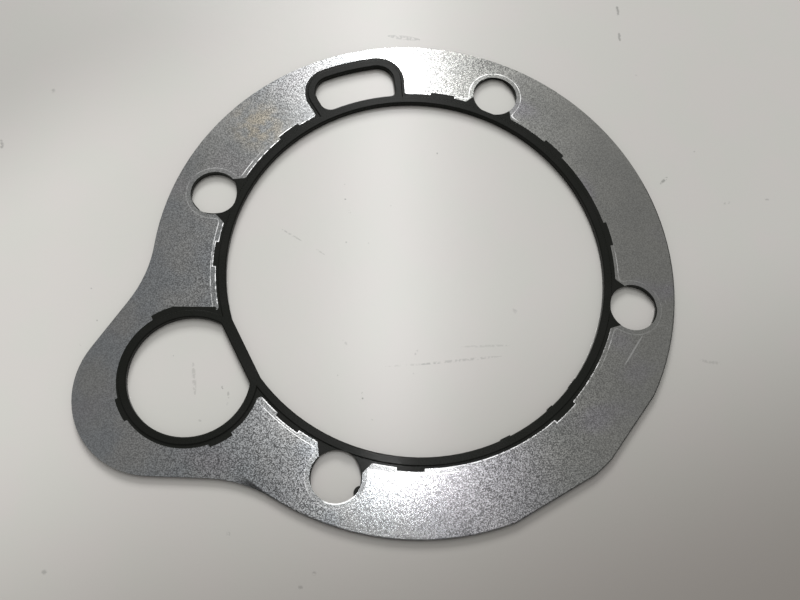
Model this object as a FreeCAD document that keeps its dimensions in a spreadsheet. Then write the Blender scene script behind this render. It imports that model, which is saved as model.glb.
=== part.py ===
import FreeCAD, Part
import math
import os
import Sketcher
from FreeCAD import Vector

# Air compressor gasket in two pieces: a stamped steel carrier plate, and one rubber seal moulded
# round the edges of its bore, its D-shaped port and its slot. Sizes are in millimetres.
# The origin is the centre of the pilot bore on the middle plane of the plate. +Z is up, and the
# gasket is the same above and below that plane. Angles run anticlockwise from +X, seen from above.

# Driving sizes
# Each row: name, value, meaning
SIZES = (
    ("bore_radius", 53.5, "pilot bore, through the rubber"),
    ("rim_band", 20.5, "from the bore to the outside of the carrier plate"),
    ("plate_thickness", 1.0, "steel sheet"),
    ("seal_height", 2.0, "rubber bead, over both faces"),
    ("land_rise", 0.15, "thin rubber land above each face of the steel"),
    ("edge_cover", 1.5, "rubber between an opening and the steel edge inside it"),
    ("crest_chamfer", 0.3, "slope at both edges of the bead's flat crest"),
    ("ring_bead_width", 2.3, "full-height rubber round the bore"),
    ("ring_seal_width", 3.1, "all rubber round the bore, land included"),
    ("bolt_inset", 8.75, "from the bore to the circle of bolt holes"),
    ("bolt_hole_radius", 6.75, "clearance hole for an M12 bolt"),
    ("bolt_a_angle", 159.5, "place of a bolt hole"),
    ("bolt_b_angle", 66.25, "place of a bolt hole"),
    ("bolt_c_angle", 349.15, "place of a bolt hole"),
    ("bolt_d_angle", 249.2, "place of a bolt hole"),
    ("throat_width", 8.0, "cut-back of the steel between a bolt hole and the bore"),
    ("bolt_web_foot", 16.2, "rubber web beside a bolt hole, at the steel's bore edge"),
    ("bolt_web_tip", 11.9, "that web where it runs out at the hole"),
    ("bolt_web_rise", 2.6, "that web's reach past the ring's land"),
    ("ear_angle", 207.6, "direction of the ear and its port"),
    ("ear_lead", 8.9, "centre of the ear's tip past the port centre"),
    ("ear_radius", 21.75, "round tip of the ear"),
    ("flank_slope", 30.0, "straight side of the ear against its axis, degrees"),
    ("blend_radius", 35.0, "hollow corner between rim and ear"),
    ("port_radius", 16.2, "round side of the D-shaped port"),
    ("port_cut", 2.9, "how much of the round port the bridge cuts off"),
    ("port_corner", 1.5, "round corner between flat and round side"),
    ("bridge_width", 3.1, "all-rubber bridge between the port's flat and the bore"),
    ("bridge_inset", 0.8, "how far the bridge stands into the round bore"),
    ("port_bead_width", 2.1, "full-height rubber round the port"),
    ("port_seal_width", 2.75, "all rubber round the port, land included"),
    ("shoulder_lead", 3.0, "straight edge of the land beside the port, past the port's round side"),
    ("shoulder_length", 11.5, "length of that edge"),
    ("slot_rib_width", 2.8, "all-rubber rib between the slot and the bore"),
    ("slot_height", 11.1, "slot, across"),
    ("slot_start_angle", 95.9, "first end wall of the slot"),
    ("slot_end_angle", 118.7, "last end wall of the slot"),
    ("slot_low_start_corner", 1.5, "corner of the slot, bore side, at its start"),
    ("slot_low_end_corner", 3.2, "corner of the slot, bore side, at its end"),
    ("slot_top_start_corner", 5.0, "corner of the slot, rim side, at its start"),
    ("slot_top_end_corner", 5.5, "corner of the slot, rim side, at its end"),
    ("slot_bead_width", 2.4, "full-height rubber round the slot"),
    ("slot_seal_width", 3.2, "all rubber round the slot, land included"),
    ("plate_corner", 1.0, "round corner of the steel inside the rubber"),
    ("land_corner", 1.0, "round corner where two loops of rubber meet"),
    ("ring_shift_x", 0.25, "the ring's land is moulded this far off centre, along X"),
    ("ring_shift_y", 0.25, "the ring's land is moulded this far off centre, along Y"),
    ("port_shift_x", 0.15, "the port's land is moulded this far off centre, along X"),
    ("port_shift_y", -0.12, "the port's land is moulded this far off centre, along Y"),
    ("rim_flat_angle_left", 298.5, "direction of a trimmed flat on the rim"),
    ("rim_flat_depth_left", 1.05, "depth of that flat"),
    ("rim_flat_angle_right", 321.5, "direction of the second flat"),
    ("rim_flat_depth_right", 0.8, "depth of the second flat"),
    ("ring_tongue_rise", 0.85, "reach of a flash tongue past the ring's land"),
    ("ring_tongue_width", 7.3, "flash tongue on the ring"),
    ("ring_tongue_angle_a", 10.8, "place of a tongue on the ring"),
    ("ring_tongue_angle_b", 42.6, "place of a tongue on the ring"),
    ("ring_tongue_angle_c", 81.5, "place of a tongue on the ring"),
    ("ring_tongue_angle_d", 131.8, "place of a tongue on the ring"),
    ("ring_tongue_angle_e", 177.4, "place of a tongue on the ring"),
    ("ring_tongue_angle_f", 231.8, "place of a tongue on the ring"),
    ("ring_tongue_angle_g", 266.9, "place of a tongue on the ring"),
    ("ring_tongue_angle_h", 312.8, "place of a tongue on the ring"),
    ("port_tongue_width", 6.4, "flash tongue on the port's loop"),
    ("port_tongue_angle_a", 115.8, "place of a tongue, seen from the port centre"),
    ("port_tongue_angle_b", 208.0, "place of a tongue, seen from the port centre"),
    ("port_tongue_angle_c", 298.8, "place of a tongue, seen from the port centre"),
    ("port_tongue_rise_a", 1.2, "reach of that tongue past the port's land"),
    ("port_tongue_rise_b", 0.75, "reach of that tongue past the port's land"),
    ("port_tongue_rise_c", 0.8, "reach of that tongue past the port's land"),
    ("nub_angle_a", 294.8, "place of a trimmed nub of flash in the bore"),
    ("nub_angle_b", 310.8, "place of a nub"),
    ("nub_angle_c", 321.0, "place of a nub"),
    ("nub_width_a", 2.8, "that nub along the bore"),
    ("nub_width_b", 1.6, "that nub along the bore"),
    ("nub_width_c", 2.8, "that nub along the bore"),
    ("nub_reach_a", 0.3, "how far that nub stands into the bore"),
    ("nub_reach_b", 0.3, "how far that nub stands into the bore"),
    ("nub_reach_c", 0.2, "how far that nub stands into the bore"),
)
BOLTS = ("a", "b", "c", "d")
RING_TONGUES = ("a", "b", "c", "d", "e", "f", "g", "h")
PORT_TONGUES = ("a", "b", "c")
NUBS = ("a", "b", "c")
RIM_FLATS = ("left", "right")
CLEAR = 5.0  # how far a block runs past what it cuts or meets
CLEAR_TEXT = f"{CLEAR}"
NEAR = 0.001  # two places closer than this are the same place
QUARTER, HALF, FULL = 90, 180, 360  # turns in degrees
START, END, MIDDLE, AXES = 1, 2, 3, -1  # points of a sketch line, and the sketch's own axes

doc = FreeCAD.newDocument("air_compressor_gasket")
sheet = doc.addObject("Spreadsheet::Sheet", "Sizes")
for row, (alias, value, meaning) in enumerate(SIZES, start=1):
    sheet.set(f"A{row}", meaning)
    sheet.set(f"B{row}", str(value))
    sheet.setAlias(f"B{row}", alias)
doc.recompute()


def size(alias):
    """The number that the sheet holds under this name."""
    return float(sheet.get(alias))


def port_flat():
    """The port's flat side from its centre."""
    return size("port_radius") - size("port_cut")


def port_offset():
    """The port centre's distance from the bore centre: past the bridge, by the port's flat side."""
    return size("bore_radius") - size("bridge_inset") + size("bridge_width") + port_flat()


# Heights and radii that several pieces share, as expressions over the sheet
SEAL_HEIGHT = "Sizes.seal_height"
PLATE_HEIGHT = "Sizes.plate_thickness"
LAND_HEIGHT = "(Sizes.plate_thickness + 2 * Sizes.land_rise)"
STEEL_BORE = "(Sizes.bore_radius + Sizes.edge_cover)"
STEEL_PORT = "(Sizes.port_radius + Sizes.edge_cover)"
LAND_EDGE = "(Sizes.bore_radius + Sizes.ring_seal_width)"
PORT_LAND_EDGE = "(Sizes.port_radius + Sizes.port_seal_width)"
BRIDGE_START = "(Sizes.bore_radius - Sizes.bridge_inset)"
PORT_FLAT = "(Sizes.port_radius - Sizes.port_cut)"
PORT_OFFSET = f"({BRIDGE_START} + Sizes.bridge_width + {PORT_FLAT})"
EAR_OFFSET = f"({PORT_OFFSET} + Sizes.ear_lead)"
RIM_RADIUS = "(Sizes.bore_radius + Sizes.rim_band)"
BOLT_CIRCLE = "(Sizes.bore_radius + Sizes.bolt_inset)"


def polar(radius, angle):
    """Expressions for the point at this radius and angle in degrees."""
    return f"{radius} * cos({angle} * 1 deg)", f"{radius} * sin({angle} * 1 deg)"


BORE_CENTRE = ("0", "0")
PORT_CENTRE = polar(PORT_OFFSET, "Sizes.ear_angle")
RING_LAND_CENTRE = ("Sizes.ring_shift_x", "Sizes.ring_shift_y")
PORT_LAND_CENTRE = tuple(f"({PORT_CENTRE[axis]} + Sizes.port_shift_{'xy'[axis]})" for axis in (0, 1))


def place(block, x, y, height, turn):
    """Moves a block in its plane, centres its height on the middle plane and turns it about +Z."""
    block.setExpression("Placement.Base.x", x)
    block.setExpression("Placement.Base.y", y)
    block.setExpression("Placement.Base.z", f"-{height} / 2")
    block.setExpression("Placement.Rotation.Angle", turn)


def disc(name, radius, height, centre=BORE_CENTRE):
    """A round block."""
    block = doc.addObject("Part::Cylinder", name)
    block.setExpression("Radius", radius)
    block.setExpression("Height", height)
    place(block, centre[0], centre[1], height, "0")
    return block


def bar(name, start, length, width, height, angle, centre=BORE_CENTRE):
    """A straight block that starts at a radius about a centre and points outward."""
    block = doc.addObject("Part::Box", name)
    block.setExpression("Length", length)
    block.setExpression("Width", width)
    block.setExpression("Height", height)
    along_x, along_y = polar(start, angle)
    across_x, across_y = polar(f"{width} / 2", f"({angle} - 90)")
    x, y = f"{centre[0]} + {along_x} + {across_x}", f"{centre[1]} + {along_y} + {across_y}"
    place(block, x, y, height, angle)
    return block


def web(name, start, length, foot, tip, height, angle):
    """A straight block that points outward from the bore and narrows from its foot to its tip."""
    block = doc.addObject("Part::Wedge", name)
    for side, sign in (("min", "-"), ("max", "")):
        block.setExpression(f"X{side}", f"{sign}{foot} / 2")
        block.setExpression(f"X2{side}", f"{sign}{tip} / 2")
    for low, high in (("Zmin", "Zmax"), ("Z2min", "Z2max")):
        block.setExpression(low, "0")
        block.setExpression(high, height)
    block.setExpression("Ymin", "0")
    block.setExpression("Ymax", length)
    x, y = polar(start, angle)
    place(block, x, y, height, f"{angle} - 90")
    return block


def raised(name, sketch, height):
    """A sketch raised equally to both sides of the middle plane."""
    block = doc.addObject("Part::Extrusion", name)
    block.Base = sketch
    block.DirMode = "Custom"
    block.Dir = Vector(0, 0, 1)
    block.Solid = True
    block.Symmetric = True
    block.setExpression("LengthFwd", height)
    return block


def fused(name, pieces):
    """Several blocks as one."""
    whole = doc.addObject("Part::MultiFuse", name)
    whole.Shapes = pieces
    whole.Refine = True
    return whole


def shared(name, pieces):
    """The room that several blocks have in common."""
    common = doc.addObject("Part::MultiCommon", name)
    common.Shapes = pieces
    return common


def less(name, base, tool):
    """One block without the room that another takes."""
    rest = doc.addObject("Part::Cut", name)
    rest.Base = base
    rest.Tool = tool
    rest.Refine = True
    return rest


def eased(kind, name, base, numbers, amount):
    """A block with some of its edges rounded (Fillet) or sloped (Chamfer)."""
    smooth = doc.addObject(f"Part::{kind}", name)
    smooth.Base = base
    smooth.Edges = [(number, amount, amount) for number in numbers]
    doc.recompute()
    return smooth


def upright_edges(block, low, high, around=(0, 0)):
    """Numbers of a block's upright edges that stand between two distances from a centre."""
    doc.recompute()
    numbers = []
    for number, edge in enumerate(block.Shape.Edges, start=1):
        ends = [vertex.Point for vertex in edge.Vertexes]
        if len(ends) != 2 or math.hypot(ends[0].x - ends[1].x, ends[0].y - ends[1].y) > NEAR:
            continue
        faces = block.Shape.ancestorsOfType(edge, Part.Face)
        distance = math.hypot(ends[0].x - around[0], ends[0].y - around[1])
        if len(faces) == 2 and low - NEAR < distance < high + NEAR:
            numbers.append(number)
    return numbers


def crest_edges(block):
    """Numbers of the edges round a block's top and bottom faces."""
    doc.recompute()
    half = block.Shape.BoundBox.ZMax
    numbers = []
    for number, edge in enumerate(block.Shape.Edges, start=1):
        box = edge.BoundBox
        if box.ZLength < NEAR and abs(abs(box.ZMin) - half) < NEAR:
            numbers.append(number)
    return numbers


def bind(sketch, name, expression, kind, *parts):
    """Adds a named constraint to a sketch and ties it to the sheet."""
    index = sketch.addConstraint(Sketcher.Constraint(kind, *parts))
    sketch.renameConstraint(index, name)
    sketch.setExpression(f"Constraints.{name}", expression)


def arc(centre_x, centre_y, radius, start, end):
    """A round sketch line, anticlockwise between two angles in degrees."""
    circle = Part.Circle(Vector(centre_x, centre_y, 0), Vector(0, 0, 1), radius)
    return Part.ArcOfCircle(circle, math.radians(start), math.radians(end))


def segment(first, second):
    """A straight sketch line between two points."""
    return Part.LineSegment(Vector(*first, 0), Vector(*second, 0))


def point(radius, angle, centre=(0, 0)):
    """The point at this radius and angle in degrees about a centre."""
    turned = math.radians(angle)
    return centre[0] + radius * math.cos(turned), centre[1] + radius * math.sin(turned)


def outline_sketch():
    """Rim circle and ear in one closed line. The sketch's X axis is the ear's axis."""
    sketch = doc.addObject("Sketcher::SketchObject", "plate_outline")
    sketch.setExpression("Placement.Rotation.Angle", "Sizes.ear_angle")
    rim, tip, blend = size("bore_radius") + size("rim_band"), size("ear_radius"), size("blend_radius")
    offset, slope = port_offset() + size("ear_lead"), size("flank_slope")
    normal = QUARTER - slope
    flank = offset * math.cos(math.radians(normal)) + tip
    reach = rim + blend
    meet = normal - math.degrees(math.acos((flank + blend) / reach))
    upper, lower = point(reach, meet), point(reach, -meet)
    tip_upper, tip_lower = point(tip, normal, (offset, 0)), point(tip, -normal, (offset, 0))
    lines = (
        arc(0, 0, rim, meet, FULL - meet),
        arc(*upper, blend, HALF + meet, HALF + normal),
        segment(tip_upper, point(blend, HALF + normal, upper)),
        arc(offset, 0, tip, -normal, normal),
        segment(point(blend, HALF - normal, lower), tip_lower),
        arc(*lower, blend, HALF - normal, HALF - meet),
    )
    rim_arc, upper_arc, upper_line, tip_arc, lower_line, lower_arc = sketch.addGeometry(lines)
    joins = (
        (rim_arc, START, upper_arc, START),
        (upper_arc, END, upper_line, END),
        (upper_line, START, tip_arc, END),
        (tip_arc, START, lower_line, END),
        (lower_line, START, lower_arc, START),
        (lower_arc, END, rim_arc, END),
    )
    for join in joins:
        sketch.addConstraint(Sketcher.Constraint("Tangent", *join))
    sketch.addConstraint(Sketcher.Constraint("Coincident", rim_arc, MIDDLE, AXES, START))
    sketch.addConstraint(Sketcher.Constraint("PointOnObject", tip_arc, MIDDLE, AXES))
    sketch.addConstraint(Sketcher.Constraint("Equal", upper_arc, lower_arc))
    bind(sketch, "tip_offset", EAR_OFFSET, "DistanceX", AXES, START, tip_arc, MIDDLE, offset)
    bind(sketch, "rim_size", RIM_RADIUS, "Radius", rim_arc, rim)
    bind(sketch, "tip_size", "Sizes.ear_radius", "Radius", tip_arc, tip)
    bind(sketch, "blend_size", "Sizes.blend_radius", "Radius", upper_arc, blend)
    upper_slope, lower_slope = math.radians(HALF - slope), math.radians(slope)
    bind(sketch, "upper_slope", "(180 - Sizes.flank_slope) * 1 deg", "Angle", upper_line, upper_slope)
    bind(sketch, "lower_slope", "Sizes.flank_slope * 1 deg", "Angle", lower_line, lower_slope)
    return sketch


def slot_sketch(name, growth=None):
    """The curved slot, or an outline that stands off it by a named width and opens to the bore.

    Two arcs about the bore centre, two radial end walls and four round corners."""
    sketch = doc.addObject("Sketcher::SketchObject", name)
    low, low_text = size("bore_radius"), "Sizes.bore_radius"
    top = low + size("slot_rib_width") + size("slot_height")
    middle_radius = top - size("slot_height") / 2
    if growth is None:
        grown, grown_text = 0.0, "0"
        low, low_text = low + size("slot_rib_width"), f"{low_text} + Sizes.slot_rib_width"
        low_first, low_last = size("slot_low_start_corner"), size("slot_low_end_corner")
        low_corner_texts = ("Sizes.slot_low_start_corner", "Sizes.slot_low_end_corner")
    else:
        grown, grown_text = size(growth), f"Sizes.{growth}"
        low_first = low_last = size("edge_cover") / 2
        low_corner_texts = ("Sizes.edge_cover / 2", "Sizes.edge_cover / 2")
    spread = math.degrees(grown / middle_radius)
    top = top + grown
    first, last = size("slot_start_angle") - spread, size("slot_end_angle") + spread
    top_first, top_last = size("slot_top_start_corner") + grown, size("slot_top_end_corner") + grown
    corners = (
        (low + low_first, low_first, first, 1),
        (top - top_first, top_first, first, 1),
        (top - top_last, top_last, last, -1),
        (low + low_last, low_last, last, -1),
    )
    turns, centres = [], []
    for distance, corner, wall, side in corners:
        turn = wall + side * math.degrees(math.asin(corner / distance))
        turns.append(turn)
        centres.append(point(distance, turn))

    def on_wall(index):
        """Where a corner's arc meets its end wall."""
        distance, corner, wall, _ = corners[index]
        return point(math.sqrt(distance ** 2 - corner ** 2), wall)

    lines = (
        arc(0, 0, low, turns[0], turns[3]),
        arc(*centres[0], low_first, turns[0] + HALF, first + HALF + QUARTER),
        segment(on_wall(0), on_wall(1)),
        arc(*centres[1], top_first, first - QUARTER, turns[1]),
        arc(0, 0, top, turns[1], turns[2]),
        arc(*centres[2], top_last, turns[2], last + QUARTER),
        segment(on_wall(2), on_wall(3)),
        arc(*centres[3], low_last, last + QUARTER, turns[3] + HALF),
    )
    ids = sketch.addGeometry(lines)
    low_arc, corner_0, wall_first, corner_1, top_arc, corner_2, wall_last, corner_3 = ids
    joins = (
        (low_arc, START, corner_0, START),
        (corner_0, END, wall_first, START),
        (wall_first, END, corner_1, START),
        (corner_1, END, top_arc, START),
        (top_arc, END, corner_2, START),
        (corner_2, END, wall_last, START),
        (wall_last, END, corner_3, START),
        (corner_3, END, low_arc, END),
    )
    for join in joins:
        sketch.addConstraint(Sketcher.Constraint("Tangent", *join))
    for round_line in (low_arc, top_arc):
        sketch.addConstraint(Sketcher.Constraint("Coincident", round_line, MIDDLE, AXES, START))
    for wall in (wall_first, wall_last):
        sketch.addConstraint(Sketcher.Constraint("PointOnObject", AXES, START, wall))
    middle_text = "(Sizes.bore_radius + Sizes.slot_rib_width + Sizes.slot_height / 2)"
    spread_text = f"{grown_text} / {middle_text} * 180 / pi"
    first_text = f"(Sizes.slot_start_angle - {spread_text}) * 1 deg"
    last_text = f"(Sizes.slot_end_angle + {spread_text} + 180) * 1 deg"
    top_text = f"Sizes.bore_radius + Sizes.slot_rib_width + Sizes.slot_height + {grown_text}"
    bind(sketch, "first_wall", first_text, "Angle", wall_first, math.radians(first))
    bind(sketch, "last_wall", last_text, "Angle", wall_last, math.radians(last + HALF))
    bind(sketch, "low_size", low_text, "Radius", low_arc, low)
    bind(sketch, "top_size", top_text, "Radius", top_arc, top)
    bind(sketch, "low_start", low_corner_texts[0], "Radius", corner_0, low_first)
    bind(sketch, "low_end", low_corner_texts[1], "Radius", corner_3, low_last)
    top_corner_texts = [f"Sizes.slot_top_{end}_corner + {grown_text}" for end in ("start", "end")]
    bind(sketch, "top_start", top_corner_texts[0], "Radius", corner_1, top_first)
    bind(sketch, "top_end", top_corner_texts[1], "Radius", corner_2, top_last)
    return sketch


def bolt_discs(purpose):
    """One block as large as each bolt hole, through the whole seal."""
    blocks = []
    for bolt in BOLTS:
        centre = polar(BOLT_CIRCLE, f"Sizes.bolt_{bolt}_angle")
        blocks.append(disc(f"{purpose}_{bolt}", "Sizes.bolt_hole_radius", SEAL_HEIGHT, centre))
    return blocks


def make_carrier_plate():
    """Steel sheet: rim and ear, two rim flats, one joined cut-out and four bolt holes."""
    blank = raised("plate_blank", outline_sketch(), PLATE_HEIGHT)
    cutters = [
        disc("plate_bore", STEEL_BORE, PLATE_HEIGHT),
        disc("plate_port", STEEL_PORT, PLATE_HEIGHT, PORT_CENTRE),
        raised("plate_slot", slot_sketch("plate_slot_outline", "edge_cover"), PLATE_HEIGHT),
    ]
    for side in RIM_FLATS:
        start = f"({RIM_RADIUS} - Sizes.rim_flat_depth_{side})"
        angle = f"Sizes.rim_flat_angle_{side}"
        cutters.append(bar(f"rim_flat_{side}", start, CLEAR_TEXT, RIM_RADIUS, PLATE_HEIGHT, angle))
    for bolt in BOLTS:
        angle = f"Sizes.bolt_{bolt}_angle"
        length, width = "Sizes.bolt_inset", "Sizes.throat_width"
        cutters.append(bar(f"throat_{bolt}", "Sizes.bore_radius", length, width, PLATE_HEIGHT, angle))
    cutters += bolt_discs("plate_hole")
    sharp = less("plate_sharp", blank, fused("plate_cutters", cutters))
    steel_bore = size("bore_radius") + size("edge_cover")
    corners = upright_edges(sharp, steel_bore - size("plate_corner"), steel_bore + size("plate_corner"))
    return eased("Fillet", "carrier_plate", sharp, corners, size("plate_corner"))


def tongue(name, start, rise, width, angle, centre=BORE_CENTRE):
    """A flash tongue on a round land: a straight block, ended by a circle about the land's centre."""
    block = bar(f"{name}_block", start, CLEAR_TEXT, width, LAND_HEIGHT, angle, centre)
    return shared(name, [block, disc(f"{name}_reach", rise, LAND_HEIGHT, centre)])


def make_land():
    """Thin rubber on both faces of the steel, with its flash tongues and bolt-hole webs."""
    loops = [
        disc("ring_land", LAND_EDGE, LAND_HEIGHT, RING_LAND_CENTRE),
        disc("port_land", PORT_LAND_EDGE, LAND_HEIGHT, PORT_LAND_CENTRE),
        raised("slot_land", slot_sketch("slot_land_outline", "slot_seal_width"), LAND_HEIGHT),
    ]
    length = "(Sizes.ring_seal_width - Sizes.edge_cover + Sizes.bolt_web_rise)"
    foot, tip = "Sizes.bolt_web_foot", "Sizes.bolt_web_tip"
    for bolt in BOLTS:
        angle = f"Sizes.bolt_{bolt}_angle"
        loops.append(web(f"bolt_web_{bolt}", STEEL_BORE, length, foot, tip, LAND_HEIGHT, angle))
    loops = fused("land_loops", loops)
    edge, centre = size("bore_radius") + size("ring_seal_width"), (size("ring_shift_x"), size("ring_shift_y"))
    corners = upright_edges(loops, edge, edge, centre)
    pieces = [eased("Fillet", "land_rounded", loops, corners, size("land_corner"))]
    for letter in RING_TONGUES:
        rise, angle = f"({LAND_EDGE} + Sizes.ring_tongue_rise)", f"Sizes.ring_tongue_angle_{letter}"
        width = "Sizes.ring_tongue_width"
        pieces.append(tongue(f"ring_tongue_{letter}", STEEL_BORE, rise, width, angle, RING_LAND_CENTRE))
    for letter in PORT_TONGUES:
        rise = f"({PORT_LAND_EDGE} + Sizes.port_tongue_rise_{letter})"
        width, angle = "Sizes.port_tongue_width", f"Sizes.port_tongue_angle_{letter}"
        pieces.append(tongue(f"port_tongue_{letter}", STEEL_PORT, rise, width, angle, PORT_LAND_CENTRE))
    rise, length = "(Sizes.port_radius + Sizes.shoulder_lead)", "Sizes.shoulder_length"
    pieces.append(bar("port_shoulder", "0", rise, length, LAND_HEIGHT, f"{QUARTER}", PORT_CENTRE))
    return fused("land", pieces)


def make_nubs():
    """What trimming left of the flash inside the bore."""
    nubs = []
    for letter in NUBS:
        start = f"(Sizes.bore_radius - Sizes.nub_reach_{letter})"
        width, angle = f"Sizes.nub_width_{letter}", f"Sizes.nub_angle_{letter}"
        nubs.append(bar(f"nub_{letter}", start, "Sizes.edge_cover", width, LAND_HEIGHT, angle))
    return nubs


def make_bead():
    """Full-height rubber round the bore, the port and the slot."""
    return fused("bead", [
        disc("ring_bead", "(Sizes.bore_radius + Sizes.ring_bead_width)", SEAL_HEIGHT),
        disc("port_bead", "(Sizes.port_radius + Sizes.port_bead_width)", SEAL_HEIGHT, PORT_CENTRE),
        raised("slot_bead", slot_sketch("slot_bead_outline", "slot_bead_width"), SEAL_HEIGHT),
    ])


def make_openings():
    """The room of the bore, the port and the slot. A straight bridge parts the first two."""
    rounds = fused("openings_round", [
        disc("pilot_bore", "Sizes.bore_radius", SEAL_HEIGHT),
        disc("port_round", "Sizes.port_radius", SEAL_HEIGHT, PORT_CENTRE),
        raised("slot_opening", slot_sketch("slot_outline"), SEAL_HEIGHT),
    ])
    bore_half = f"sqrt(Sizes.bore_radius ^ 2 - {BRIDGE_START} ^ 2)"
    port_half = f"sqrt(Sizes.port_radius ^ 2 - {PORT_FLAT} ^ 2)"
    length = f"(2 * max({bore_half}; {port_half}) + Sizes.ring_bead_width)"
    bridge = bar("bridge", BRIDGE_START, "Sizes.bridge_width", length, SEAL_HEIGHT, "Sizes.ear_angle")
    parted = less("openings_parted", rounds, bridge)
    port_centre = point(port_offset(), size("ear_angle"))
    corners = upright_edges(parted, port_flat(), size("port_radius"), port_centre)
    return eased("Fillet", "openings", parted, corners, size("port_corner"))


def make_moulded_seal(steel):
    """One rubber network: land and bead, open at the openings and bolt holes, moulded on the steel."""
    openings = make_openings()
    square_bead = less("bead_square", make_bead(), openings)
    bead = eased("Chamfer", "bead_sloped", square_bead, crest_edges(square_bead), size("crest_chamfer"))
    land = less("land_open", make_land(), openings)
    network = fused("network", [bead, land] + make_nubs())
    return less("moulded_seal", network, fused("room_of_steel", [steel] + bolt_discs("web_hole")))


plate = make_carrier_plate()
seal = make_moulded_seal(plate)
doc.recompute()

for item in doc.Objects:
    if "Invalid" in item.State or "Error" in item.State:
        raise RuntimeError(f"{item.Label} failed: {item.State}")
for piece in (plate, seal):
    if piece.Shape.isNull() or not piece.Shape.isValid():
        raise RuntimeError(f"{piece.Label} has no valid shape")

os.makedirs("parts", exist_ok=True)
for piece in (plate, seal):
    piece.Shape.exportStep(f"parts/{piece.Label}.step")
    print(piece.Label, len(piece.Shape.Solids), "solid", round(piece.Shape.Volume, 2), "mm3")
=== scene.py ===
import math

import bpy
from mathutils import Matrix, Vector


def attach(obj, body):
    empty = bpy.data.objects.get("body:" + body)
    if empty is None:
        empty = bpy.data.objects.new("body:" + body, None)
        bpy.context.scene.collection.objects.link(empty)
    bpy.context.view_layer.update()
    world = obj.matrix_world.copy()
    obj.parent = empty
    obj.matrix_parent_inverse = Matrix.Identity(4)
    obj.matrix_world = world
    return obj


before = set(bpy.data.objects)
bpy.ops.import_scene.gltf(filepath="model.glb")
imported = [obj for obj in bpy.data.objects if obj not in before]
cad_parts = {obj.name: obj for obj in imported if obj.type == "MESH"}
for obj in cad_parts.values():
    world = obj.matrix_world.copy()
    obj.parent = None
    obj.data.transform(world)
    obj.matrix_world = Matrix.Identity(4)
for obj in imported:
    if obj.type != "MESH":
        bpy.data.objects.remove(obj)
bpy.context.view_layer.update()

# Places are in the frame of the model: origin at the bore centre on the middle plane of the plate,
# +Z up, +Y away from the viewer. The camera, the lamps and the table are in metres, and all sizes
# and places on a surface are in millimetres.
MM = 0.001
SEAL_HALF = 1.0 * MM
TABLE_HALF = 1.5
RIGHT = (1.0, 0.0, 0.0)
AWAY = (0.0, 1.0, 0.0)

# Camera
CAMERA_PLACE = (-18.2 * MM, -78.0 * MM, 197.2 * MM)
CAMERA_TILT = math.radians(19.33)
CAMERA_SWING = math.radians(10.91)
CAMERA_CLIP = 0.01
LENS_MM = 33.69
SENSOR_MM = 36.0

# Light
STRIP_PLACE = (0.064, 0.675, 1.4)
STRIP_SIZE = (0.05, 1.19)
STRIP_WATTS = 8.0
WINDOW_PLACE = (-0.22, 1.85, 1.2)
WINDOW_SIZE = (0.9, 0.7)
WINDOW_WATTS = 36.0
WORLD_GREY = 0.36
WORLD_COLOUR = (1.0, 0.99, 0.97, 1.0)

# Gasket, in millimetres and degrees. Each rim flat has its angle and depth.
BOLT_CIRCLE = 62.25
BOLT_RADIUS = 6.75
BOLT_ANGLES = {"a": 159.5, "b": 66.25, "c": 349.15, "d": 249.2}
RIM_RADIUS = 74.0
RIM_FLATS = ((298.5, 1.05), (321.5, 0.8))
LAND_CENTRE = (0.25, 0.25)
LAND_RADIUS = 56.6
TONGUE_RADIUS = 57.45
TONGUE_HALF = 3.65
TONGUE_ANGLES = (10.8, 42.6, 81.5, 131.8, 177.4, 231.8, 266.9, 312.8)

# In the values below, a fade is a direction, how far along it the change starts and ends, and the
# values there. A fade without a direction is the same for a distance or a noise. A spot is a
# middle, the distances to which it is full and at which it is gone, and its strength.

# Grain of the plating: strongest beside GRAIN_MIDDLE, in millimetres to the right of the bore's
# centre, and made strong where the lamps' highlights fall so that it stands in for their sparkle:
# painted glints
GRAIN_SIZE = 0.3
GRAIN_MIDDLE = -12.0
GRAIN_SIDEWAYS = (28.0, 78.0, 1.0, 0.08)
GRAIN_AWAY = (AWAY, -20.0, 40.0, 1.0, 0.6)
GRAIN_LEAST, GRAIN_MORE = 0.33, 1.35
SPARKLE_SPOTS = (
    ((14.0, 64.0), 9.0, 24.0, 0.45),
    ((-39.8, 62.4), 5.0, 18.0, 0.45),
    ((-6.0, -64.0), 11.0, 27.0, -0.4),
)
GRAIN_CONTRAST = (0.3, 0.7, -0.5, 0.5)

# Colours of the plating and the stain, with paler and darker spots of painted highlight and painted
# shade that brighten or dim the lamps' reflections
PLATING_BLUE = (0.322, 0.338, 0.353, 1.0)
PLATING_GREEN = (0.335, 0.339, 0.337, 1.0)
PLATING_NEUTRAL = (0.334, 0.335, 0.317, 1.0)
PLATING_VIOLET = (0.334, 0.330, 0.347, 1.0)
PATCH_SIZE, PATCH_EDGE = 14.0, (0.35, 0.65)
NEUTRAL_SIDE = ((1.0, 0.3, 0.0), -25.0, 45.0, 0.0, 0.85)
VIOLET_SIZE, VIOLET_STRETCH, VIOLET_EDGE = 22.0, (1.0, 1.3, 1.0), (0.55, 0.75)
PAINTED_REFLECTION_SPOTS = (
    ((13.0, -59.0), 5.0, 28.0, 0.8, (0.50, 0.49, 0.52, 1.0)),
    ((-45.0, -43.0), 3.0, 14.0, 0.7, (0.46, 0.47, 0.48, 1.0)),
    ((-34.0, -60.0), 3.0, 12.0, 0.4, (0.25, 0.255, 0.27, 1.0)),
    ((-52.0, 38.0), 12.0, 30.0, 0.55, (0.25, 0.25, 0.24, 1.0)),
    ((-33.0, 60.0), 3.0, 14.0, 0.6, (0.45, 0.45, 0.45, 1.0)),
)
STAIN_SPOT = ((-47.0, 44.5), 2.0, 11.0, 0.5)
STAIN_SIZE, STAIN_EDGE = 3.5, (0.35, 0.6)
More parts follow.
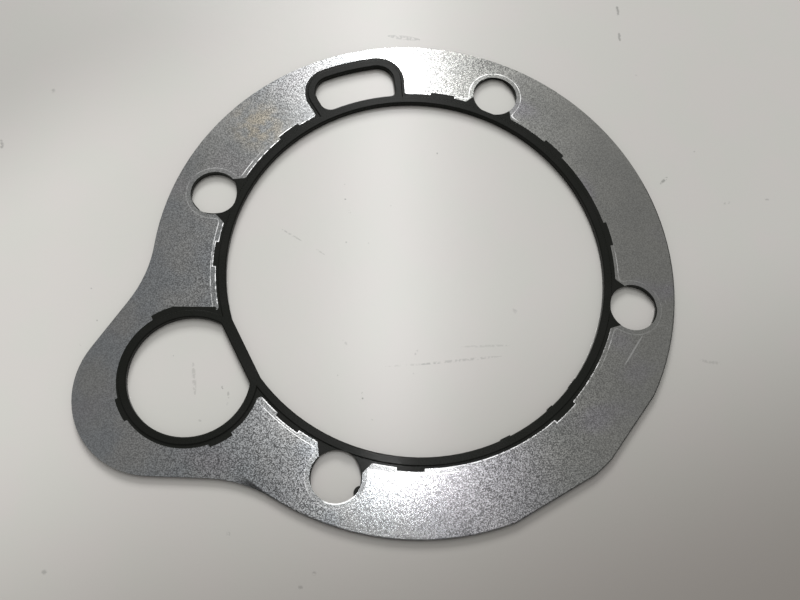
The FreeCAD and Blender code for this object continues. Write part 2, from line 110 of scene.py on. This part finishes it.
STAIN_BROWN = (0.41, 0.355, 0.26, 1.0)

# Band that the mould pressed into the plate: it shows at the left and round holes b and c. It is a
# little greyer than the rest, and darkened beside hole d by painted shade that dims the highlight
# there.
SHUT_OFF_RADIUS = 57.82
SHUT_OFF_MARGIN = 1.3
SHUT_OFF_BLEND = 3.0
SHUT_OFF_EDGE = (-0.1, 0.1, 1.0, 0.0)
SHUT_OFF_LEFT = (RIGHT, 5.0, 25.0, 1.0, 0.0)
SHUT_OFF_NEAR = (AWAY, 31.0, 40.0, 1.0, 0.0)
SHUT_OFF_HOLES = (("b", 9.0, 13.0, 1.0), ("c", 14.0, 24.0, 0.8))
PRESSED_SHARE, PRESSED_GREY = 0.25, (0.35, 0.36, 0.35, 1.0)
BAND_SHADE_SPOT, BAND_SHADE_GREY = ((-13.0, -57.0), 4.5, 9.5, 0.75), (0.08, 0.08, 0.08, 1.0)

# Bright lines: at the pressed band's edge, where it is fainter round three of the holes, beside the
# ring's rubber, round one corner of the slot and on the lip of hole d. The line beside the rubber is
# partly painted highlight, faded where the light is weaker, and the lip's line is a painted highlight.
LINE_AND_HIGHLIGHT_COLOUR = (0.95, 0.95, 0.95, 1.0)
BAND_LINE_HALF = 0.11
BAND_LINE_FAINT_HOLES, BAND_LINE_FAINT = ("a", "c", "d"), (8.6, 10.5, 0.4, 1.0)
BAND_LINE_BREAK_SIZE, BAND_LINE_BREAKS = 2.2, (0.35, 0.55, 0.2, 0.5)
LAND_LINE_OUT, LAND_LINE_HALF = 0.12, 0.14
LAND_LINE_BREAK_SIZE, LAND_LINE_BREAKS = 1.2, (0.35, 0.6, 0.1, 1.0)
LAND_HIGHLIGHT_SIDE = ((0.8, 0.6, 0.0), 15.0, 50.0, 0.75, 0.06)
SHOULDER_CORNER, SHOULDER_FADE = (-55.2, -13.5), (0.9, 2.0, 0.0, 1.0)
SLOT_CORNER_CENTRE = (-24.8, 56.7)
SLOT_LINE_RADIUS, SLOT_LINE_HALF = 9.6, 0.07
SLOT_LINE_SIDE, SLOT_LINE_START, SLOT_LINE_FADE = (-0.77, 0.64, 0.0), 8.0, (0.0, 1.0, 0.0, 0.16)
# Painted highlight on the lip of hole d, where the light catches its rounded edge
LIP_OUT, LIP_HALF = 0.16, 0.16
LIP_SIDE, LIP_START, LIP_FADE = (0.17, -0.985, 0.0), 5.3, (0.0, 0.8, 0.0, 0.9)

# Scratches and dirt on the plate: two ends, half width, strength and colour
PALE_MARK = (0.8, 0.8, 0.8, 1.0)
DARK_MARK = (0.08, 0.08, 0.08, 1.0)
PLATE_MARKS = (
    ((62.9, -19.85), (56.8, -28.5), 0.32, 0.5, PALE_MARK),
    ((71.8, -5.3), (71.8, -4.9), 0.3, 0.3, PALE_MARK),
    ((70.8, -10.4), (70.6, -9.6), 0.25, 0.25, PALE_MARK),
    ((70.1, -18.1), (70.1, -17.7), 0.3, 0.3, PALE_MARK),
    ((-64.6, 10.8), (-63.3, 10.9), 0.22, 0.8, DARK_MARK),
    ((-62.4, 8.3), (-61.6, 7.9), 0.2, 0.3, PALE_MARK),
)

# Painted shade: a dark line on the lower right of the rim for the shadow under its edge, and the
# sheared sides of the sheet, their own dark tone deepened to stand in for the shade on them
RIM_LINE = (-0.4, -0.1, 0.0, 0.85)
RIM_LINE_SIDE = ((0.6, -0.8, 0.0), 17.0, 23.0)
RIM_PAINTED_SHADE = (0.03, 0.03, 0.03, 1.0)
SHEARED_FACING = (0.3, 0.7, 1.0, 0.0)
SHEARED_DARK_AND_SHADE = (0.015, 0.015, 0.014, 1.0)

# Roughness and relief of the plate
STEEL_ROUGH = (0.3, 0.7, 0.18, 0.20)
STEEL_ROUGH_AWAY = (AWAY, 10.0, 45.0, 0.0, 0.022)
LINE_ROUGH, SHEARED_ROUGH = 0.25, 0.3
STEEL_RELIEF_SIZE, STEEL_RELIEF_DEPTH = 0.5, 0.006

# Rubber, smoother beside hole d
RUBBER_BLACK = (0.0094, 0.0102, 0.0085, 1.0)
RUBBER_BLOOM = (0.0118, 0.0121, 0.0108, 1.0)
BLOOM_SIZE, BLOOM_EDGE = 9.0, (0.4, 0.7)
SKIN_SIZE, SKIN_ROUGH, SKIN_DEPTH = 0.5, (0.3, 0.7, 0.25, 0.3), 0.01
SMOOTH_SPOT = ((-10.5, -54.0), 3.0, 11.0, 0.11)
RUBBER_SHINE = 0.08

# Table top: cloudy, with painted shadow darker toward the near right corner, and painted light
# falloff that makes it paler at the left and dim in the far left corner
TABLE_WARM = (0.572, 0.554, 0.532, 1.0)
TABLE_GREEN = (0.562, 0.558, 0.527, 1.0)
TABLE_SHADE = (0.26, 0.242, 0.223, 1.0)
CLOUD_SIZE, CLOUD_EDGE = 18.0, (0.35, 0.65)
SHADE_SIDE, SHADE_STARTS, SHADE_ENDS = (0.25, -0.97, 0.0), (8.0, 118.0), (150.0, 320.0, 1.0, 0.0)
TABLE_ACROSS = (RIGHT, -105.0, 105.0, 1.07, 0.9)
TABLE_LEFT = (RIGHT, -110.0, -60.0, 1.08, 1.0)
TABLE_FAR_CORNER = ((-0.6, 0.8, 0.0), 75.0, 125.0, 1.0, 0.72)
TABLE_ROUGH, TABLE_SHINE = 0.27, 0.45
TABLE_RELIEF_SIZE, TABLE_RELIEF_DEPTH = 2.5, 0.01
SMEAR_DARK = (0.05, 0.055, 0.05, 1.0)
SMEAR_BREAK_SIZE, SMEAR_BREAKS = 1.0, (0.4, 0.55)

# Thin rubber flash in the bolt holes, and dark strips over the shaded walls of holes a, b and c that
# are
# painted shade: hole, first and last angle about its centre, reach inward
FLASH_AND_SHADE = (
    ("a", 200.0, 236.0, 0.24),
    ("a", 248.0, 294.0, 0.24),
    # painted shade: a dark strip over the shaded far wall of hole a
    ("a", 38.0, 198.0, 0.5),
    ("a", -30.0, 30.0, 0.42),
    # painted shade: dark strips over the shaded walls of holes b and c
    ("b", 98.0, 168.0, 0.30),
    ("b", -8.0, 64.0, 0.38),
    ("c", 18.0, 100.0, 0.45),
    ("c", -42.0, 2.0, 0.35),
    ("d", -24.0, 44.0, 0.30),
    ("d", 314.0, 339.0, 0.95),
    ("d", 130.0, 200.0, 0.30),
)
FLASH_BITE = 0.05
FLASH_LOW, FLASH_HIGH = -0.48, 0.53
FLASH_STEPS = 14

# Faint smears and specks on the table: two ends, half width and strength
TABLE_MARKS = (
    ((-9.7, -28.9), (5.7, -27.9), 0.4, 0.16),
    ((-1.2, -28.4), (23.0, -25.8), 0.5, 0.24),
    ((11.4, -23.2), (25.7, -22.7), 0.45, 0.16),
    ((-38.8, 11.4), (-33.0, 7.8), 0.35, 0.28),
    ((-29.8, 6.0), (-26.3, 3.6), 0.3, 0.22),
    ((-8.0, 79.3), (2.3, 78.2), 1.1, 0.3),
    ((68.2, 94.3), (68.1, 90.2), 0.8, 0.45),
    ((67.7, 83.4), (67.7, 80.3), 0.7, 0.4),
    ((107.0, 24.0), (107.6, 24.1), 0.8, 0.35),
    ((93.5, 22.1), (95.5, 22.8), 0.6, 0.22),
    ((79.0, -26.6), (85.2, -27.7), 0.7, 0.18),
    ((27.2, -11.8), (27.6, -13.2), 0.8, 0.18),
    ((-60.8, -27.9), (-59.6, -36.9), 0.7, 0.2),
    ((-48.8, -71.1), (-48.5, -73.0), 0.6, 0.22),
    ((-92.6, -80.5), (-91.9, -80.5), 0.8, 0.3),
    ((74.5, 28.4), (77.3, 30.9), 0.6, 0.45),
    ((71.4, 67.3), (72.0, 67.3), 0.3, 0.3),
    ((86.7, 39.8), (87.1, 40.0), 0.35, 0.35),
    ((-19.6, 17.5), (-19.3, 17.1), 0.5, 0.8),
    ((-20.9, 21.3), (-20.6, 21.3), 0.35, 0.55),
    ((-21.1, 26.2), (-20.9, 26.1), 0.28, 0.25),
    ((-7.5, 19.8), (-7.4, 19.4), 0.35, 0.2),
    ((6.7, 37.4), (6.7, 37.0), 0.35, 0.45),
    ((-20.4, 7.7), (-20.2, 7.5), 0.35, 0.35),
    ((-14.0, 7.5), (-13.8, 7.4), 0.28, 0.2),
    ((-16.0, -38.3), (-15.8, -38.5), 0.45, 0.75),
    ((-15.5, -36.2), (-15.4, -36.3), 0.35, 0.6),
    ((-15.4, -37.6), (-15.3, -37.8), 0.35, 0.6),
    ((-12.9, -43.4), (-12.7, -43.5), 0.35, 0.3),
    ((-22.2, -31.3), (-22.0, -31.5), 0.3, 0.22),
    ((-1.7, -30.7), (-1.5, -30.9), 0.28, 0.2),
    ((-108.9, 56.2), (-108.4, 54.8), 0.8, 0.25),
    ((-121.2, 38.3), (-120.5, 35.7), 0.9, 0.35),
    ((-27.2, -81.4), (-26.9, -81.7), 0.7, 0.3),
    ((-30.7, -84.6), (-30.0, -84.9), 0.7, 0.3),
    ((-20.8, -21.5), (-19.7, -22.9), 0.5, 0.2),
    ((-1.1, -25.6), (-0.3, -24.2), 0.45, 0.25),
    ((-52.8, -34.4), (-52.4, -35.2), 0.35, 0.5),
    ((-51.0, -35.8), (-50.8, -37.7), 0.4, 0.3),
    ((-50.9, -38.9), (-51.1, -39.6), 0.3, 0.25),
    ((-58.2, -43.5), (-57.5, -43.8), 0.4, 0.2),
    ((-66.2, -26.1), (-66.0, -26.4), 0.3, 0.3),
    ((-70.4, -39.6), (-70.2, -39.9), 0.3, 0.25),
    ((-90.0, -7.2), (-89.8, -7.4), 0.3, 0.35),
    ((-87.4, -16.4), (-87.2, -16.6), 0.3, 0.35),
    ((-91.0, -23.2), (-90.6, -23.4), 0.35, 0.3),
)


def add_camera():
    """The photograph's viewpoint: tilted back from straight down, and swung sideways."""
    data = bpy.data.cameras.new("camera")
    data.lens = LENS_MM
    data.sensor_width = SENSOR_MM
    data.clip_start = CAMERA_CLIP
    camera = bpy.data.objects.new("camera", data)
    swing_out = Matrix.Rotation(-CAMERA_SWING, 4, "Z")
    tilt = Matrix.Rotation(CAMERA_TILT, 4, "X")
    swing_back = Matrix.Rotation(CAMERA_SWING, 4, "Z")
    camera.matrix_world = Matrix.Translation(CAMERA_PLACE) @ swing_out @ tilt @ swing_back
    bpy.context.collection.objects.link(camera)
    bpy.context.scene.camera = camera


def add_area(name, place, aim, size, watts):
    """A rectangular lamp that looks at a point."""
    data = bpy.data.lights.new(name, "AREA")
    data.shape = "RECTANGLE"
    data.size, data.size_y = size
    data.energy = watts
    lamp = bpy.data.objects.new(name, data)
    lamp.location = place
    look = Vector(aim) - Vector(place)
    lamp.rotation_euler = look.to_track_quat("-Z", "Y").to_euler()
    bpy.context.collection.objects.link(lamp)


def add_room():
    """Even grey light from all round."""
    world = bpy.data.worlds.new("room")
    world.use_nodes = True
    background = world.node_tree.nodes["Background"]
    background.inputs["Color"].default_value = WORLD_COLOUR
    background.inputs["Strength"].default_value = WORLD_GREY
    bpy.context.scene.world = world


class Finish:
    """One node material, with short ways to add the nodes that its surface needs."""

    def __init__(self, name):
        self.material = bpy.data.materials.new(name)
        self.material.use_nodes = True
        self.nodes = self.material.node_tree.nodes
        self.shader = self.nodes["Principled BSDF"]
        place = self.nodes.new("ShaderNodeTexCoord").outputs["Object"]
        self.place = self.vector("MULTIPLY", place, (1 / MM, 1 / MM, 1 / MM))
        self.flat = self.vector("MULTIPLY", self.place, (1.0, 1.0, 0.0))

    def feed(self, socket, value):
        """Links an output to a socket, or sets the socket to a plain value."""
        if isinstance(value, bpy.types.NodeSocket):
            self.material.node_tree.links.new(value, socket)
        else:
            socket.default_value = value

    def set(self, socket_name, value):
        """Feeds one socket of the shader."""
        self.feed(self.shader.inputs[socket_name], value)

    def math(self, operation, *values):
        """A sum on plain numbers."""
        node = self.nodes.new("ShaderNodeMath")
        node.operation = operation
        for socket, value in zip(node.inputs, values):
            self.feed(socket, value)
        return node.outputs[0]

    def vector(self, operation, *values):
        """A sum on vectors."""
        node = self.nodes.new("ShaderNodeVectorMath")
        node.operation = operation
        for socket, value in zip(node.inputs, values):
            self.feed(socket, value)
        return node.outputs["Vector"]

    def reach(self, point):
        """Distance from an upright line through this point."""
        node = self.nodes.new("ShaderNodeVectorMath")
        node.operation = "DISTANCE"
        self.feed(node.inputs[0], self.flat)
        node.inputs[1].default_value = (point[0], point[1], 0.0)
        return node.outputs["Value"]

    def past_circle(self, middle, radius):
        """Distance outward from a circle."""
        return self.math("SUBTRACT", self.reach(middle), radius)

    def along(self, direction, start=0.0):
        """How far a place lies in a direction, past a start."""
        node = self.nodes.new("ShaderNodeVectorMath")
        node.operation = "DOT_PRODUCT"
        self.feed(node.inputs[0], self.place)
        node.inputs[1].default_value = direction
        return self.math("SUBTRACT", node.outputs["Value"], start)

    def along_from(self, middle, direction, start=0.0):
        """How far a place lies in a direction from a middle, past a start."""
        return self.along(direction, Vector(direction).dot(Vector((*middle, 0.0))) + start)

    def step(self, value, low, high, at_low=0.0, at_high=1.0):
        """A soft step from one value to another."""
        node = self.nodes.new("ShaderNodeMapRange")
        node.interpolation_type = "SMOOTHSTEP"
        ends = {"From Min": low, "From Max": high, "To Min": at_low, "To Max": at_high}
        for name, number in ends.items():
            node.inputs[name].default_value = number
        self.feed(node.inputs["Value"], value)
        return node.outputs["Result"]

    def fade(self, direction, *ends):
        """A soft change along a direction."""
        return self.step(self.along(direction), *ends)

    def spot(self, middle, full, gone, strength):
        """A round place with soft edges."""
        return self.step(self.reach(middle), full, gone, strength, 0.0)

    def line(self, distance, half_width):
        """One on a line, nothing away from it."""
        beside = self.math("ABSOLUTE", distance)
        return self.step(beside, half_width * 0.4, half_width * 1.6, 1.0, 0.0)

    def streak(self, first, last, half_width):
        """One along a thin line between two places, nothing past its edge."""
        length = math.dist(first, last)
        beside = self.math("ADD", self.reach(first), self.reach(last))
        return self.step(beside, length, math.hypot(length, 2.0 * half_width), 1.0, 0.0)

    def noise(self, size, detail=2.0, stretch=(1.0, 1.0, 1.0)):
        """Cloudy noise with grains of about this size."""
        node = self.nodes.new("ShaderNodeTexNoise")
        self.feed(node.inputs["Vector"], self.vector("MULTIPLY", self.place, stretch))
        node.inputs["Scale"].default_value = 1.0 / size
        node.inputs["Detail"].default_value = detail
        return node.outputs["Fac"]

    def mix(self, share, first, second, blend="MIX"):
        """A colour between two others."""
        node = self.nodes.new("ShaderNodeMix")
        node.data_type = "RGBA"
        node.blend_type = blend
        self.feed(node.inputs["Factor"], share)
        self.feed(node.inputs[6], first)
        self.feed(node.inputs[7], second)
        return node.outputs[2]

    def darkened(self, colour, value):
        """A colour times a number."""
        node = self.nodes.new("ShaderNodeCombineColor")
        for socket in node.inputs:
            self.feed(socket, value)
        return self.mix(1.0, colour, node.outputs[0], "MULTIPLY")

    def bump(self, height, depth):
        """A relief this deep where the height is one."""
        node = self.nodes.new("ShaderNodeBump")
        node.inputs["Strength"].default_value = 1.0
        node.inputs["Distance"].default_value = depth * MM
        self.feed(node.inputs["Height"], height)
        return node.outputs["Normal"]


def bolt_centre(letter):
    """Centre of a bolt hole."""
    turned = math.radians(BOLT_ANGLES[letter])
    return BOLT_CIRCLE * math.cos(turned), BOLT_CIRCLE * math.sin(turned)


def grain_and_sparkle(finish):
    """Grain of the plating, strongest where the lamps' highlights fall, where it stands in for their
    sparkle: painted glints.
    """
    sideways = finish.math("ABSOLUTE", finish.along(RIGHT, GRAIN_MIDDLE))
    share = finish.math("MULTIPLY", finish.step(sideways, *GRAIN_SIDEWAYS), finish.fade(*GRAIN_AWAY))
    depth = finish.math("MULTIPLY_ADD", share, GRAIN_MORE, GRAIN_LEAST)
    for spot in SPARKLE_SPOTS:
        depth = finish.math("ADD", depth, finish.spot(*spot))
    contrast = finish.step(finish.noise(GRAIN_SIZE), *GRAIN_CONTRAST)
    return finish.math("MULTIPLY_ADD", contrast, depth, 1.0)


def shut_off(finish):
    """Distance outward from the edge of the band that the mould pressed, and where the band shows."""
    ring = finish.past_circle((0.0, 0.0), SHUT_OFF_RADIUS)
    for letter in BOLT_ANGLES:
        hole = finish.past_circle(bolt_centre(letter), BOLT_RADIUS + SHUT_OFF_MARGIN)
        ring = finish.math("SMOOTH_MIN", ring, hole, SHUT_OFF_BLEND)
    shown = finish.math("MULTIPLY", finish.fade(*SHUT_OFF_LEFT), finish.fade(*SHUT_OFF_NEAR))
    for letter, *spot in SHUT_OFF_HOLES:
        shown = finish.math("MAXIMUM", shown, finish.spot(bolt_centre(letter), *spot))
    return ring, shown


def land_edge(finish):
    """Distance outward from the edge of the ring's rubber land and its tongues."""
    edge = finish.past_circle(LAND_CENTRE, LAND_RADIUS)
    for angle in TONGUE_ANGLES:
        turned = math.radians(angle)
        outward = (math.cos(turned), math.sin(turned), 0.0)
        sideways = (-math.sin(turned), math.cos(turned), 0.0)
        across = finish.math("ABSOLUTE", finish.along_from(LAND_CENTRE, sideways))
        across = finish.math("SUBTRACT", across, TONGUE_HALF)
        inward = finish.math("MULTIPLY", finish.along_from(LAND_CENTRE, outward), -1.0)
        tongue = finish.past_circle(LAND_CENTRE, TONGUE_RADIUS)
        tongue = finish.math("MAXIMUM", finish.math("MAXIMUM", tongue, across), inward)
        edge = finish.math("MINIMUM", edge, tongue)
    return edge


def band_line(finish, ring, shown):
    """The broken bright line at the edge of the pressed band."""
    line = finish.math("MULTIPLY", finish.line(ring, BAND_LINE_HALF), shown)
    for letter in BAND_LINE_FAINT_HOLES:
        fainter = finish.step(finish.reach(bolt_centre(letter)), *BAND_LINE_FAINT)
        line = finish.math("MULTIPLY", line, fainter)
    breaks = finish.step(finish.noise(BAND_LINE_BREAK_SIZE), *BAND_LINE_BREAKS)
    return finish.math("MULTIPLY", line, breaks)


def land_line_and_highlight(finish):
    """The broken bright line beside the ring's rubber: partly a real bright edge, partly painted
    highlight that fades out toward the upper right where the light is weaker.
    """
    line = finish.line(finish.math("SUBTRACT", land_edge(finish), LAND_LINE_OUT), LAND_LINE_HALF)
    breaks = finish.step(finish.noise(LAND_LINE_BREAK_SIZE), *LAND_LINE_BREAKS)
    line = finish.math("MULTIPLY", line, breaks)
    shoulder = finish.step(finish.reach(SHOULDER_CORNER), *SHOULDER_FADE)
    line = finish.math("MULTIPLY", line, shoulder)
    return finish.math("MULTIPLY", line, finish.fade(*LAND_HIGHLIGHT_SIDE))


def arc_line(finish, middle, radius, half_width, side, start, ends):
    """A line on the part of a circle that lies on one side of its middle, past a start."""
    line = finish.line(finish.past_circle(middle, radius), half_width)
    return finish.math("MULTIPLY", line, finish.step(finish.along_from(middle, side, start), *ends))


def steel_lines(finish):
    """How far the plate is pressed, and its bright lines, some of them painted highlights."""
    ring, shown = shut_off(finish)
    pressed = finish.math("MULTIPLY", finish.step(ring, *SHUT_OFF_EDGE), shown)
    line = finish.math("MAXIMUM", band_line(finish, ring, shown), land_line_and_highlight(finish))
    corner = arc_line(
        finish, SLOT_CORNER_CENTRE, SLOT_LINE_RADIUS, SLOT_LINE_HALF,
        SLOT_LINE_SIDE, SLOT_LINE_START, SLOT_LINE_FADE,
    )
    # Painted highlight on the lip of hole d
    lip_highlight = arc_line(
        finish, bolt_centre("d"), BOLT_RADIUS + LIP_OUT, LIP_HALF, LIP_SIDE, LIP_START, LIP_FADE,
    )
    return pressed, finish.math("MAXIMUM", finish.math("MAXIMUM", line, corner), lip_highlight)


def plating(finish, patches):
    """Colour of the bare plating: large soft patches, spots of painted highlight and shade, a stain
    and the grain.
    """
    colour = finish.mix(finish.step(patches, *PATCH_EDGE), PLATING_BLUE, PLATING_GREEN)
    colour = finish.mix(finish.fade(*NEUTRAL_SIDE), colour, PLATING_NEUTRAL)
    violet = finish.step(finish.noise(VIOLET_SIZE, 1.0, VIOLET_STRETCH), *VIOLET_EDGE)
    colour = finish.mix(violet, colour, PLATING_VIOLET)
    # Painted highlight and painted shade: paler and darker spots that brighten or dim the lamps'
    # reflections
    for *spot, tone in PAINTED_REFLECTION_SPOTS:
        colour = finish.mix(finish.spot(*spot), colour, tone)
    clouds = finish.step(finish.noise(STAIN_SIZE, 3.0), *STAIN_EDGE)
    stain = finish.math("MULTIPLY", finish.spot(*STAIN_SPOT), clouds)
    colour = finish.mix(stain, colour, STAIN_BROWN)
    # Grain, with painted sparkle where the highlights fall
    return finish.darkened(colour, grain_and_sparkle(finish))


def rim_painted_shadow(finish):
    """Painted shade along the lower right of the rim, standing in for the shadow under its edge and
    following its two flats.
    """
    rim = finish.past_circle((0.0, 0.0), RIM_RADIUS)
    for angle, depth in RIM_FLATS:
        outward = (math.cos(math.radians(angle)), math.sin(math.radians(angle)), 0.0)
        rim = finish.math("MAXIMUM", rim, finish.along(outward, RIM_RADIUS - depth))
    return finish.math("MULTIPLY", finish.step(rim, *RIM_LINE), finish.fade(*RIM_LINE_SIDE))


def sheared_side(finish):
    """One on the upright sides of the sheet."""
    geometry = finish.nodes.new("ShaderNodeNewGeometry")
    facing = finish.nodes.new("ShaderNodeSeparateXYZ")
    finish.feed(facing.inputs[0], geometry.outputs["True Normal"])
    return finish.step(finish.math("ABSOLUTE", facing.outputs["Z"]), *SHEARED_FACING)


def steel_finish():
    """Zinc-plated sheet steel: grainy satin, the mould's pressed band and lines, marks, dark sides,
    and painted highlights, sparkle and shade.
    """
    finish = Finish("steel")
    patches = finish.noise(PATCH_SIZE)
    pressed, line = steel_lines(finish)
    sheared = sheared_side(finish)

    colour = plating(finish, patches)
    colour = finish.mix(finish.math("MULTIPLY", pressed, PRESSED_SHARE), colour, PRESSED_GREY)
    # Painted shade that dims the highlight on the band beside hole d
    band_shade = finish.math("MULTIPLY", pressed, finish.spot(*BAND_SHADE_SPOT))
    colour = finish.mix(band_shade, colour, BAND_SHADE_GREY)
    # Bright lines, partly painted highlight beside the rubber and on the lip of hole d
    colour = finish.mix(line, colour, LINE_AND_HIGHLIGHT_COLOUR)
    for first, last, half_width, strength, tone in PLATE_MARKS:
        mark = finish.math("MULTIPLY", finish.streak(first, last, half_width), strength)
        colour = finish.mix(mark, colour, tone)
    # Painted shadow under the lower right of the rim
    colour = finish.mix(rim_painted_shadow(finish), colour, RIM_PAINTED_SHADE)
    # The sheared sides: their own dark tone, deepened by painted shade
    colour = finish.mix(sheared, colour, SHEARED_DARK_AND_SHADE)

    rough = finish.math("ADD", finish.step(patches, *STEEL_ROUGH), finish.fade(*STEEL_ROUGH_AWAY))
    rough = finish.math("ADD", rough, finish.math("MULTIPLY", line, LINE_ROUGH))
    rough = finish.math("ADD", rough, finish.math("MULTIPLY", sheared, SHEARED_ROUGH))
    finish.set("Metallic", 1.0)
    finish.set("Base Color", colour)
    finish.set("Roughness", rough)
    finish.set("Normal", finish.bump(finish.noise(STEEL_RELIEF_SIZE, 1.0), STEEL_RELIEF_DEPTH))
    return finish.material


def rubber_finish():
    """Black moulded rubber with a fine, slightly uneven skin and one smoother place."""
    finish = Finish("rubber")
    skin = finish.noise(SKIN_SIZE)
    bloom = finish.step(finish.noise(BLOOM_SIZE), *BLOOM_EDGE)
    rough = finish.math("SUBTRACT", finish.step(skin, *SKIN_ROUGH), finish.spot(*SMOOTH_SPOT))
    finish.set("Base Color", finish.mix(bloom, RUBBER_BLACK, RUBBER_BLOOM))
    finish.set("Roughness", rough)
    finish.set("Specular IOR Level", RUBBER_SHINE)
    finish.set("Normal", finish.bump(skin, SKIN_DEPTH))
    return finish.material


def table_finish():
    """Pale table top with soft clouds, painted shadow and light falloff across it, and faint smears.
    """
    finish = Finish("table_top")
    cloud = finish.step(finish.noise(CLOUD_SIZE, 3.0), *CLOUD_EDGE)
    colour = finish.mix(cloud, TABLE_WARM, TABLE_GREEN)
    # Painted shadow, darker toward the near right corner and fading out further away
    near = finish.along(SHADE_SIDE)
    shade = finish.math("MULTIPLY", finish.step(near, *SHADE_STARTS), finish.step(near, *SHADE_ENDS))
    colour = finish.mix(shade, colour, TABLE_SHADE)
    # Painted light falloff: paler at the left, dimmer at the right and in the far left corner
    tone = finish.math("MULTIPLY", finish.fade(*TABLE_ACROSS), finish.fade(*TABLE_LEFT))
    tone = finish.math("MULTIPLY", tone, finish.fade(*TABLE_FAR_CORNER))
    colour = finish.darkened(colour, tone)
    breaks = finish.step(finish.noise(SMEAR_BREAK_SIZE), *SMEAR_BREAKS)
    for first, last, half_width, strength in TABLE_MARKS:
        smear = finish.math("MULTIPLY", finish.streak(first, last, half_width), strength)
        smear = finish.math("MULTIPLY", smear, breaks)
        colour = finish.mix(smear, colour, SMEAR_DARK)
    finish.set("Base Color", colour)
    finish.set("Roughness", TABLE_ROUGH)
    finish.set("Specular IOR Level", TABLE_SHINE)
    finish.set("Normal", finish.bump(finish.noise(TABLE_RELIEF_SIZE), TABLE_RELIEF_DEPTH))
    return finish.material


def add_mesh(name, verts, faces, material):
    """One mesh object with one material."""
    mesh = bpy.data.meshes.new(name)
    mesh.from_pydata(verts, [], faces)
    mesh.materials.append(material)
    piece = bpy.data.objects.new(name, mesh)
    bpy.context.collection.objects.link(piece)
    return piece


def add_table():
    """The plain pale table that the gasket lies on."""
    corners = [
        (x * TABLE_HALF, y * TABLE_HALF, -SEAL_HALF) for x, y in ((-1, -1), (1, -1), (1, 1), (-1, 1))
    ]
    add_mesh("table_top", corners, [(0, 1, 2, 3)], table_finish())


def dark_strip(letter, first, last, inward, start):
    """Corners and faces of one closed dark strip in a bolt hole, whose corners are counted from a
    start.
    """
    verts, faces = [], []
    centre = bolt_centre(letter)
    for index in range(FLASH_STEPS + 1):
        share = index / FLASH_STEPS
        turned = math.radians(first + (last - first) * share)
        thin = inward * math.sin(math.pi * share) ** 0.5
        for radius in (BOLT_RADIUS + FLASH_BITE, BOLT_RADIUS - thin):
            for height in (FLASH_LOW, FLASH_HIGH):
                x = centre[0] + radius * math.cos(turned)
                y = centre[1] + radius * math.sin(turned)
                verts.append((x * MM, y * MM, height * MM))
    for index in range(FLASH_STEPS):
        here, there = start + 4 * index, start + 4 * (index + 1)
        for low, high in ((0, 1), (1, 3), (3, 2), (2, 0)):
            faces.append((here + low, here + high, there + high, there + low))
    end = start + 4 * FLASH_STEPS
    faces.append((start, start + 2, start + 3, start + 1))
    faces.append((end, end + 1, end + 3, end + 2))
    return verts, faces


def add_flash_and_shade(material):
    """Thin black flash and one torn bit of rubber on the walls of the bolt holes, and dark strips of
    painted shade over their shaded walls.
    """
    verts, faces = [], []
    for row in FLASH_AND_SHADE:
        more_verts, more_faces = dark_strip(*row, len(verts))
        verts += more_verts
        faces += more_faces
    piece = add_mesh("hole_flash_and_shade", verts, faces, material)
    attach(piece, "root")


def dress(node, material):
    """Gives a carried-over node its finish."""
    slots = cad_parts[node].data.materials
    slots.clear()
    slots.append(material)


add_camera()
add_table()
dress("carrier_plate", steel_finish())
rubber = rubber_finish()
dress("moulded_seal", rubber)
add_flash_and_shade(rubber)
add_room()
add_area("strip_lamp", STRIP_PLACE, (*STRIP_PLACE[:2], 0.0), STRIP_SIZE, STRIP_WATTS)
add_area("window", WINDOW_PLACE, (0.0, 0.0, 0.0), WINDOW_SIZE, WINDOW_WATTS)
bpy.context.scene.view_settings.view_transform = "Standard"
